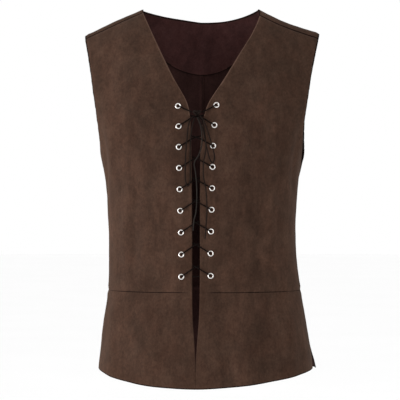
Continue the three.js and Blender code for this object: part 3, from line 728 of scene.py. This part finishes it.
def bodice_rows(top, count):
    """Rows from the waist to the underarm, then up to the top one, closer together at both ends."""
    lowest = -1 + SEWN_GAP / 2 / (UNDERARM_Z - WAIST_Z)
    ends = EDGE_STEPS * EDGE / (UNDERARM_Z - WAIST_Z)
    low = lowest + ends
    side = np.linspace(low[-1], 0, ROWS_TO_UNDERARM)[1:]
    up = top * (1 - np.cos(np.linspace(0, np.pi, count + 1))) / 2
    return np.concatenate([low, side, up[1:-1]])


def shoulder_seam(side):
    return SHOULDER_SEAM_LEFT if side > 0 else SHOULDER_SEAM_RIGHT


def front_rows(side):
    top = 1 - shoulder_seam(side)
    fine = top - (EDGE_STEPS * EDGE * ROW_OF_MM)[::-1]
    rows = bodice_rows(top, FRONT_ROWS)
    return np.concatenate([rows[rows < fine[0] - ROW_OF_MM], fine])


def back_rows(side):
    """The back's rows: up to the neckline, on to the ridge, and over it to the shoulder seam."""
    rows = bodice_rows(BACK_NECK_ROW, BACK_ROWS)
    rows = rows[rows < BACK_NECK_ROW - ROW_OF_MM]
    top = [0.925, 0.95, 0.97, 0.984, 0.993, 0.998, 1]
    t = np.concatenate([[0, 0.01, 0.025], np.linspace(0.05, 0.9, 24), top])
    neckline = lerp(BACK_NECK_ROW, 1, t * t)
    reach = shoulder_seam(side) ** 0.5 * RIDGE_REACH
    over = np.concatenate([np.linspace(0, 1, 12)[1:-2], 1 - EDGE_STEPS[:6][::-1] * EDGE / reach])
    return np.concatenate([rows, neckline, 1 + shoulder_seam(side) * over**2])


# The third look is painted shade for the rims of seams and edges; the fourth is a paler cut edge with
# painted highlight.
CLOTH_LOOKS = [SUEDE, SUEDE_INSIDE, SUEDE_PAINTED_SHADE, SUEDE_CUT_AND_HIGHLIGHT]


def side_edge(rows):
    """The side seam, and above it the turned edge of the armhole."""
    return either(rows < 0, SEAM, ARMHOLE)


def waist_edge(us):
    """The waist seam: its line doesn't show beside a front's edge, and is fainter towards the side."""
    fading = np.clip((us - WAIST_FADES_FROM) / WAIST_FADES, 0, 1)
    shows = np.clip((us - WAIST_FROM) / WAIST_OPENS, 0, 1) * (1 - 0.5 * fading)
    groove = lerp(CLOSED_GROOVE, SEAM["groove"], shows)
    return edge(SEAM["draw"], groove, lerp(CLOSED_RIM, SEAM["rim"], shows), both=False)


def front_piece(name, side):
    us, rows = shares(BODICE_WIDTH, BODICE_COLUMNS), front_rows(side)
    u, row = np.meshgrid(us, rows)
    base = bodice_points(True, side, u, row)
    on_neckline = base[:, 0, 2] > V_END_Z
    edges = {
        # Along the neckline the rim is the paler cut edge with painted highlight.
        "first": edge(look=np.where(on_neckline, PALE, OUTSIDE)),
        "last": side_edge(rows),
        "low": waist_edge(us),
        "high": SHOULDER_OF_FRONT,
    }
    return cloth(name, base, bodice_level(rows), edges, CLOTH_LOOKS)


def back_piece(name, side):
    us, rows = shares(BODICE_WIDTH, BODICE_COLUMNS), back_rows(side)
    u, row = np.meshgrid(us, rows)
    base = bodice_points(False, side, u, row)
    edges = {
        "first": either(rows < BACK_NECK_ROW, CENTRE_SEAM, FREE, both=False),
        "last": side_edge(rows),
        "low": SEAM,
        "high": SHOULDER_OF_BACK,
    }
    return cloth(name, base, bodice_level(rows), edges, CLOTH_LOOKS, allowance=0.7)


def peplum_front_piece(name, side):
    u, v = grid(*PEPLUM_FRONT_GRID)
    edges = {"first": edge(look=OUTSIDE), "last": VENT, "low": waist_edge(u[0]), "high": FREE}
    return cloth(name, peplum_points(True, side, u, v), 0 * v[:, 0], edges, CLOTH_LOOKS)


def peplum_back_piece(name):
    u, v = grid(*PEPLUM_BACK_GRID)
    u = 2 * u - 1
    base = peplum_points(False, np.where(u < 0, -1, 1), np.abs(u), v)
    draw = np.clip(np.abs(u[0]) / SEAM_DIP["fade"], 0, 1) ** 0.5  # as the backs' own ends at the middle
    low = edge(draw, SEAM["groove"], SEAM["rim"], both=False)
    edges = {"first": VENT, "last": VENT, "low": low, "high": FREE}
    return cloth(name, base, 0 * v[:, 0], edges, CLOTH_LOOKS)


FACING = {"cloth": 1.2, "reach_x": 132, "low_z": -114, "rise": 0.005, "stands_off": 1.6, "rim": 2.4}


def facing_piece(name):
    """The facing inside the back neck, from its free lower edge up to the neckline and ridge."""
    across, up = grid(*FACING_GRID)
    x = FACING["reach_x"] * (2 * across - 1)
    low = row_of(x, FACING["low_z"] + FACING["rise"] * x * x)
    top = np.minimum(1, lerp(BACK_NECK_ROW, 1, np.abs(x / NECK_X) ** back_neck_curve(x)))
    row = lerp(low, top, np.sin(up * np.pi / 2))
    base = surface_at(False, x, row_z(x, row))
    # The facing's rims are painted shade too.
    looks = [FACING_CLOTH, FACING_CLOTH, SUEDE_PAINTED_SHADE]
    edges = {"first": FREE, "last": FREE, "low": FREE, "high": edge(rim=FACING["rim"])}
    level, depth = bodice_level(row[:, 0]), CLOTH + SEAM_GAP
    return cloth(name, base, level, edges, looks, FACING["cloth"], depth, FACING["stands_off"])


# ---------- places on the fronts ----------


def on_front(x, z, lift):
    """A point lifted off the front, level with the nearer edge in the opening, and the normal there."""
    side = -1 if x < OPENING_X else 1
    on_cloth = side * max(side * x, side * float(front_edge_x(side, z)) + EDGE_MARGIN)
    seat = surface_at(True, on_cloth, z)
    height = float(relief(seat))
    seat = np.array([x, seat[1], z])
    across = surface_at(True, x + 1, z) - surface_at(True, x - 1, z)
    up = surface_at(True, x, z + 1) - surface_at(True, x, z - 1)
    normal = np.cross(across, up)
    normal /= np.linalg.norm(normal)
    return seat + normal * (lift + height), normal


# ---------- eyelets ----------

EYELET_ROWS, EYELET_PITCH, EYELET_GROWTH = 9, 36.2, 0.23
EYELET_TOP_LEFT_Z, EYELET_TOP_RIGHT_Z = -183.6, -185.4
LEAST_FROM_EDGE, BOW, BOW_ROW, BOW_ROWS = 19.3, 2.8, 2.3, 4.2  # each column of eyelets bows outwards
EYELET_SIDES, EYELET_UNEVEN = 48, 0.012
EYELET_PROFILE = [  # radius, and height over the cloth
    (5.05, 0.02), (5.26, 0.1), (5.32, 0.28), (5.22, 0.56), (4.98, 0.86), (4.68, 1.1),
    (4.35, 1.24), (4.0, 1.22), (3.66, 1.0), (3.36, 0.66), (3.14, 0.2), (3.06, -0.4),
    (3.06, -2.1), (3.12, -2.55), (3.4, -2.82), (3.9, -2.9), (4.45, -2.78), (4.86, -2.5),
    (4.9, -2.28), (4.6, -2.16), (3.36, -2.12), (3.32, -1.0), (3.34, 0.0),
]  # fmt: skip
PUNCH = {"radius": 3.6, "sides": 24, "out": 5, "in": 7}  # it reaches this far over and under the cloth


def eyelet_place(side, k):
    top = EYELET_TOP_LEFT_Z if side > 0 else EYELET_TOP_RIGHT_Z
    z = top - EYELET_PITCH * k - EYELET_GROWTH * k * k
    from_edge = LEAST_FROM_EDGE + BOW * max(0, 1 - ((k - BOW_ROW) / BOW_ROWS) ** 2)
    return float(front_edge_x(side, min(z, V_END_Z))) + side * from_edge, z


def frame_of(axis):
    """Two directions square to an axis and to each other."""
    first = np.cross(axis, [0, 0, 1.0])
    first /= np.linalg.norm(first)
    return first, np.cross(axis, first)


def full_turn(sides):
    return np.linspace(0, 2 * np.pi, sides, endpoint=False)


def eyelet_piece(name, side, k):
    middle, axis = on_front(*eyelet_place(side, k), 0)
    first, second = frame_of(axis)
    turns = full_turn(EYELET_SIDES)
    points = []
    for radius, out in EYELET_PROFILE:
        spread = 1 + EYELET_UNEVEN * np.sin(3 * turns + 2.1 * k + side) * (out > 0)
        ring = np.outer(np.cos(turns) * radius * spread, first)
        ring = ring + np.outer(np.sin(turns) * radius * spread, second)
        points.append(middle + axis * out + ring)
    faces = ring_faces(len(EYELET_PROFILE), EYELET_SIDES, closed=True)
    return new_piece(name, np.vstack(points), faces, [NICKEL])


def ring_faces(rings, sides, closed=False):
    faces = []
    for r in range(rings if closed else rings - 1):
        a, b = r * sides, (r + 1) % rings * sides
        faces += [(a + i, a + (i + 1) % sides, b + (i + 1) % sides, b + i) for i in range(sides)]
    return faces


def capped_faces(rings, sides):
    """The faces of a row of rings with both its ends closed."""
    last = (rings - 1) * sides
    caps = [tuple(reversed(range(sides))), tuple(last + i for i in range(sides))]
    return ring_faces(rings, sides) + caps


def punch(piece, side):
    """Cuts the holes that a front's eyelets are set in."""
    turns = full_turn(PUNCH["sides"])
    points, faces = [], []
    for k in range(EYELET_ROWS):
        middle, axis = on_front(*eyelet_place(side, k), 0)
        first, second = frame_of(axis)
        ring = PUNCH["radius"] * (np.outer(np.cos(turns), first) + np.outer(np.sin(turns), second))
        start = len(points) * PUNCH["sides"]
        points += [middle + axis * PUNCH["out"] + ring, middle - axis * PUNCH["in"] + ring]
        faces += [tuple(start + i for i in face) for face in capped_faces(2, PUNCH["sides"])]
    cutter = new_piece("punch", np.vstack(points), faces, [SUEDE_PAINTED_SHADE])
    cut = piece.modifiers.new("holes", "BOOLEAN")
    cut.operation, cut.solver, cut.object = "DIFFERENCE", "EXACT", cutter
    bpy.context.view_layer.update()
    shown = piece.evaluated_get(bpy.context.evaluated_depsgraph_get())
    piece.data = bpy.data.meshes.new_from_object(shown)
    piece.modifiers.clear()
    piece.data.shade_smooth()
    bpy.data.objects.remove(cutter)


# ---------- lace ----------

LACE = 1.1  # radius
PLAIT_PITCH, PLAIT_LOW, PLAIT_RISE = 2.6, 0.955, 0.07  # of the braid; low and rise are in radii
CROSS_RISE, EDGE_RISE, DIP_RISE = 16.5, 12.5, 20.0  # above the eyelets: crossing, edge, and behind it
BEHIND_EDGE = 1.2  # the lace dips behind the cloth this far past its edge
LACE_BAR_Z, LACE_BAR_GAP = -489.0, 0.2  # both runs start behind the cloth, between the lowest eyelets
# Lifts of the lace's middle line off the front.
ON_CLOTH, OVER_EDGE, UNDER_CLOTH = LACE + 0.35, LACE + 0.8, -(CLOTH + LACE + 0.55)
CROSS_OVER, CROSS_UNDER, ON_LACE, ON_TOP = 0.5, -2.9, 4.25, 6.95
KNOT = {"x": 0, "z": -199, "lift": 5.4, "wide": 8.5, "deep": 3.6, "tall": 5.4, "strand": 1.5}
KNOT_STRAND_SIDES, KNOT_STRAND_STEP, KNOT_CORE_RINGS, KNOT_CORE_SIDES = 14, 0.45, 14, 24
KNOT_CORE = (0.95, 0.62, 0.8)  # in shares of the knot's own reach
BESIDE_KNOT, INTO_KNOT = (12.5, 3, 3.4), (0.5, 1, 5)  # where a run comes to the knot and ends in it
INTO_EYELET = [(9, UNDER_CLOTH), (3, -4.7), (0.9, -3.4)]  # distance from its middle, and lift
OUT_OF_EYELET = [(0.9, 0.9), (2.3, 2.9), (5.2, 3.1), (9.5, ON_CLOTH)]
# The free lace: x, z and lift of the places that it passes.
LOOP_RIGHT = [
    (-6.2, -205.2, 4.6), (-12.6, -213, ON_LACE), (-17.5, -246, ON_LACE), (-20.2, -291, ON_LACE),
    (-19.8, -319, ON_LACE), (-16, -328, ON_LACE), (-12, -319, ON_LACE), (-11.8, -282, ON_LACE),
    (-10.6, -240, ON_LACE), (-6.8, -217, ON_LACE), (-3.2, -206.4, 4.6),
]  # fmt: skip
LOOP_LEFT = [
    (5.6, -205.6, ON_TOP), (10.5, -211, ON_TOP), (16.5, -225, ON_TOP), (22.5, -243, ON_TOP),
    (28.8, -264, ON_TOP), (31, -278, ON_TOP), (28, -287, ON_TOP), (23.5, -282, ON_TOP),
    (16.5, -255, ON_TOP), (9.5, -226, ON_TOP), (2.4, -206.8, ON_TOP),
]  # fmt: skip
END_RIGHT = [
    (0, -206.6, ON_LACE), (3.4, -214, ON_LACE), (8, -229, ON_LACE), (8.8, -255, ON_LACE),
    (3.4, -273, ON_LACE), (-4.5, -287, ON_LACE), (-2.4, -303, ON_LACE), (-0.2, -335, ON_LACE),
    (-1.9, -374, ON_LACE), (-5.5, -389, ON_LACE), (-7.2, -408, ON_LACE),
]  # fmt: skip
END_LEFT = [
    (3.6, -206.4, 4.6), (8.5, -212, 4.4), (13.8, -236, ON_LACE), (15.9, -264, ON_LACE),
    (12.3, -283, ON_LACE), (11.4, -309, ON_LACE), (15.9, -335, ON_LACE), (17.6, -371, ON_LACE),
    (15.9, -397, ON_LACE), (14.1, -422, ON_LACE),
]  # fmt: skip


def even_line(line, step):
    """The same line with points an even step apart."""
    along = np.concatenate([[0], np.cumsum(np.linalg.norm(np.diff(line, axis=0), axis=1))])
    places = np.linspace(0, along[-1], max(2, round(along[-1] / step)) + 1)
    return np.stack([np.interp(places, along, line[:, i]) for i in range(3)], 1)


def tube(name, line, material, radius=LACE, sides=12, step=0.5):
    """A round braided lace along a line, with rounded ends."""
    line = even_line(line, step)
    ahead = np.gradient(line, axis=0)
    ahead /= np.linalg.norm(ahead, axis=1, keepdims=True)
    first, _ = frame_of(ahead[0])
    turns = full_turn(sides)
    rings = []
    for i, (point, axis) in enumerate(zip(line, ahead)):
        first = first - axis * (first @ axis)
        first /= np.linalg.norm(first)
        second = np.cross(axis, first)
        way = i * step * 2 * np.pi / PLAIT_PITCH
        plait = np.maximum(np.cos(3 * turns + way), np.cos(3 * turns - way))
        end = min(i, len(line) - 1 - i) * step / radius
        rounding = math.sqrt(max(1 - max(1 - end, 0) ** 2, 0.02))
        around = radius * (PLAIT_LOW + PLAIT_RISE * plait) * rounding
        ring = point + np.outer(np.cos(turns) * around, first)
        rings.append(ring + np.outer(np.sin(turns) * around, second))
    return new_piece(name, np.vstack(rings), capped_faces(len(rings), sides), [material])


def route(spots, steps=10):
    return smooth_line([on_front(*spot)[0] for spot in spots], steps)


def towards(eyelet, other, places):
    """Spots on the way from an eyelet to another spot, each this far along and lifted this much."""
    reach = math.hypot(other[0] - eyelet[0], other[1] - eyelet[1])
    return [
        (lerp(eyelet[0], other[0], far / reach), lerp(eyelet[1], other[1], far / reach), lift)
        for far, lift in places
    ]


def by_knot(across, up, lift):
    return KNOT["x"] + across, KNOT["z"] + up, lift


def lace_run(first_side, cross_lift):
    """One run of the lace, from the bar behind the lowest row up through nine eyelets to the knot."""
    last = EYELET_ROWS - 1
    before = (OPENING_X + first_side * LACE_BAR_GAP, LACE_BAR_Z, UNDER_CLOTH)
    spots = [before]
    for k in range(last, -1, -1):
        side = -first_side if (last - k) % 2 else first_side
        x, z = eyelet_place(side, k)
        level_z = (eyelet_place(1, k)[1] + eyelet_place(-1, k)[1]) / 2
        edge_z = level_z + EDGE_RISE
        over_edge = (float(front_edge_x(side, edge_z)), edge_z, OVER_EDGE)
        after = over_edge if k > 0 else by_knot(side * BESIDE_KNOT[0], *BESIDE_KNOT[1:])
        spots += [*towards((x, z), before, INTO_EYELET), (x, z, -CLOTH / 2)]
        spots += [*towards((x, z), after, OUT_OF_EYELET), after]
        if k > 0:
            dip_z = level_z + DIP_RISE
            before = (float(front_edge_x(-side, dip_z)) - side * BEHIND_EDGE, dip_z, UNDER_CLOTH)
            spots += [(OPENING_X, level_z + CROSS_RISE, cross_lift), before]
    spots.append(by_knot(first_side * (KNOT["wide"] + INTO_KNOT[0]), *INTO_KNOT[1:]))
    return route(spots, 6)


def knot_piece(name):
    """The bow's knot: a strand that winds over and under itself round a tight core."""
    middle, _ = on_front(KNOT["x"], KNOT["z"], KNOT["lift"])
    reach = np.array([KNOT["wide"], KNOT["deep"], KNOT["tall"]]) - 0.9 * KNOT["strand"]
    t = np.linspace(0, 2 * np.pi, 160)
    across, up = (np.sin(t) + 2 * np.sin(2 * t)) / 3, (np.cos(t) - 2 * np.cos(2 * t)) / 3
    line = middle + np.stack([across, -np.sin(3 * t), up], 1) * reach
    strand = tube("strand", line, BRAID, KNOT["strand"], KNOT_STRAND_SIDES, KNOT_STRAND_STEP)
    turns = full_turn(KNOT_CORE_SIDES)
    rings = []
    for a in np.linspace(0.12, np.pi - 0.12, KNOT_CORE_RINGS):
        out = np.full(KNOT_CORE_SIDES, math.cos(a))
        ring = np.stack([out, np.sin(a) * np.cos(turns), np.sin(a) * np.sin(turns)], 1)
        rings.append(middle + ring * reach * KNOT_CORE)
    faces = capped_faces(KNOT_CORE_RINGS, KNOT_CORE_SIDES)
    core = new_piece(name, np.vstack(rings), faces, [BRAID])
    with bpy.context.temp_override(active_object=core, selected_editable_objects=[core, strand]):
        bpy.ops.object.join()
    return core


# ---------- making the pieces ----------

SIDES = (("left", 1), ("right", -1))

# The cords come first: node, the places it passes, its length, and its far end.
CORDS = [
    ("lace_loop_right", LOOP_RIGHT, 252, "object"),
    ("lace_loop_left", LOOP_LEFT, 176, "object"),
    ("lace_end_right", END_RIGHT, 208, "bare"),
    ("lace_end_left", END_LEFT, 221, "bare"),
]
for node, spots, length, far_end in CORDS:
    line = route(spots)
    # The end that hangs over the opening has painted highlight.
    material = BRAID_PAINTED_HIGHLIGHT if node == "lace_end_right" else BRAID
    piece = settle(tube(f"braid_{node[5:]}", line, material), "lace", node)
settle(knot_piece("braid_knot"), "lace", "lace_knot")
for name, side in SIDES:
    run = lace_run(side, CROSS_OVER if side > 0 else CROSS_UNDER)
    # The runs have painted shade.
    settle(tube(f"braid_run_{name}", run, BRAID_PAINTED_SHADE), "lace", f"lace_run_{name}")
    for k in range(EYELET_ROWS):
        settle(eyelet_piece(f"nickel_{name}_{k + 1}", side, k), "eyelets", f"eyelet_{name}_{k + 1}")


def sheet(piece, slot, node):
    """Attaches a cut piece to the root and hides the CAD part that it stands for."""
    settle(piece, slot, node)


for name, side in SIDES:
    front = front_piece(f"cloth_front_{name}", side)
    punch(front, side)
    back = back_piece(f"cloth_back_{name}", side)
    peplum = peplum_front_piece(f"cloth_peplum_{name}", side)
    sheet(front, "suede", f"front_{name}")
    sheet(back, "suede", f"back_{name}")
    sheet(peplum, "suede", f"peplum_front_{name}")
peplum = peplum_back_piece("cloth_peplum_back")
sheet(peplum, "suede", "peplum_back")
facing = facing_piece("cloth_facing")
sheet(facing, "facing", "back_neck_facing")

# ---------- floor and light ----------

FLOOR = {"radius": 30000, "z": -1450, "sides": 96}
AIM = (0, 0, -0.35)  # metres
LIGHTS = [  # name, place and size in metres, power in watts
    ("key", (-2.9, -1.9, 0.1), 1.4, 74),
    ("side", (-3.2, -0.7, -0.8), 1.2, 52),
    ("fill", (1.5, -2.9, 0.3), 1.8, 25),
]


def make_floor():
    material, tree, shader, place = new_material("pale_floor")
    tone = ramp(tree, noise(tree, place, 1.3, 3), (0.35, grey(0.972)), (0.65, grey(0.982)))
    tree.links.new(tone, shader.inputs["Base Color"])
    shader.inputs["Roughness"].default_value = 0.9
    reach, z = FLOOR["radius"], FLOOR["z"]
    points = [(reach * math.cos(a), reach * math.sin(a), z) for a in full_turn(FLOOR["sides"])]
    floor = new_piece("floor", points, [tuple(range(FLOOR["sides"]))], [material])


def soft_light(name, place, size, power):
    data = bpy.data.lights.new(name, "AREA")
    data.shape, data.size, data.energy = "DISK", size, power
    light = bpy.data.objects.new(name, data)
    light.location = place
    light.rotation_euler = (Vector(AIM) - Vector(place)).to_track_quat("-Z", "Y").to_euler()
    bpy.context.scene.collection.objects.link(light)


def make_light():
    world = bpy.data.worlds.new("studio")
    world.use_nodes = True
    sky = world.node_tree.nodes["Background"]
    sky.inputs["Color"].default_value = (1, 1, 1, 1)
    sky.inputs["Strength"].default_value = 1.0
    bpy.context.scene.world = world
    for name, place, size, power in LIGHTS:
        soft_light(name, place, size, power)
    bpy.context.scene.view_settings.view_transform = "Standard"


make_floor()
make_light()
